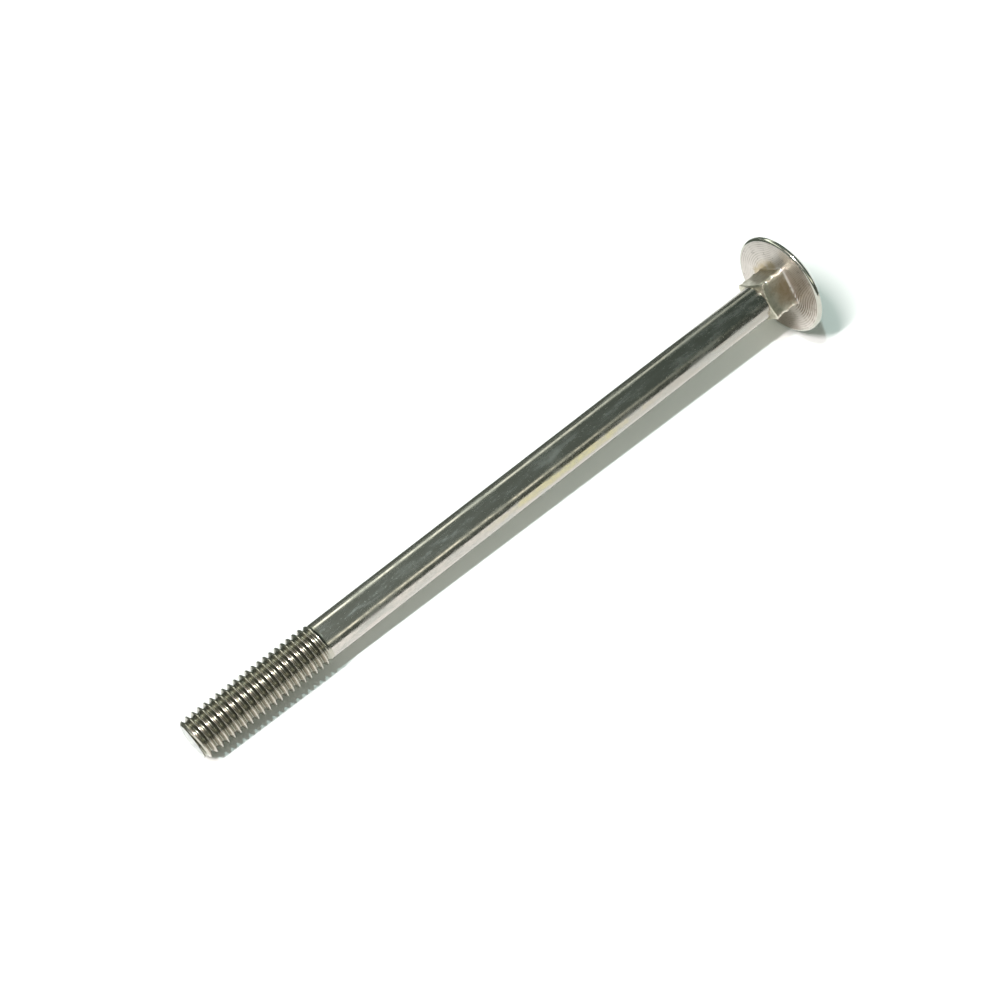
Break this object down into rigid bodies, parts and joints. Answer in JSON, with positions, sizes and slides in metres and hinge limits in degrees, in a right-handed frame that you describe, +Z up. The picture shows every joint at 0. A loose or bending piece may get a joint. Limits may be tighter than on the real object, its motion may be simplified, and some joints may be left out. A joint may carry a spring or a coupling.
{
  "type": "carriage bolt",
  "caption": "Long steel carriage bolt with a thin cup head, a square neck, a plain reduced shank and a short rolled thread at its chamfered point.",
  "frame": {"origin": "on the surface that the bolt lies on, below the middle of its bounding box", "axes": "+X along the bolt from its threaded point to its head, +Z up; the bolt's axis rises 2.7 degrees towards the head"},
  "size_m": [0.1444, 0.021, 0.021],
  "materials": {
    "plated_steel": "bright plated steel, smooth on the shank and finely ringed under the head"
  },
  "bodies": {
    "root": {"carriage_bolt": "plated_steel"}
  },
  "joints": []
}
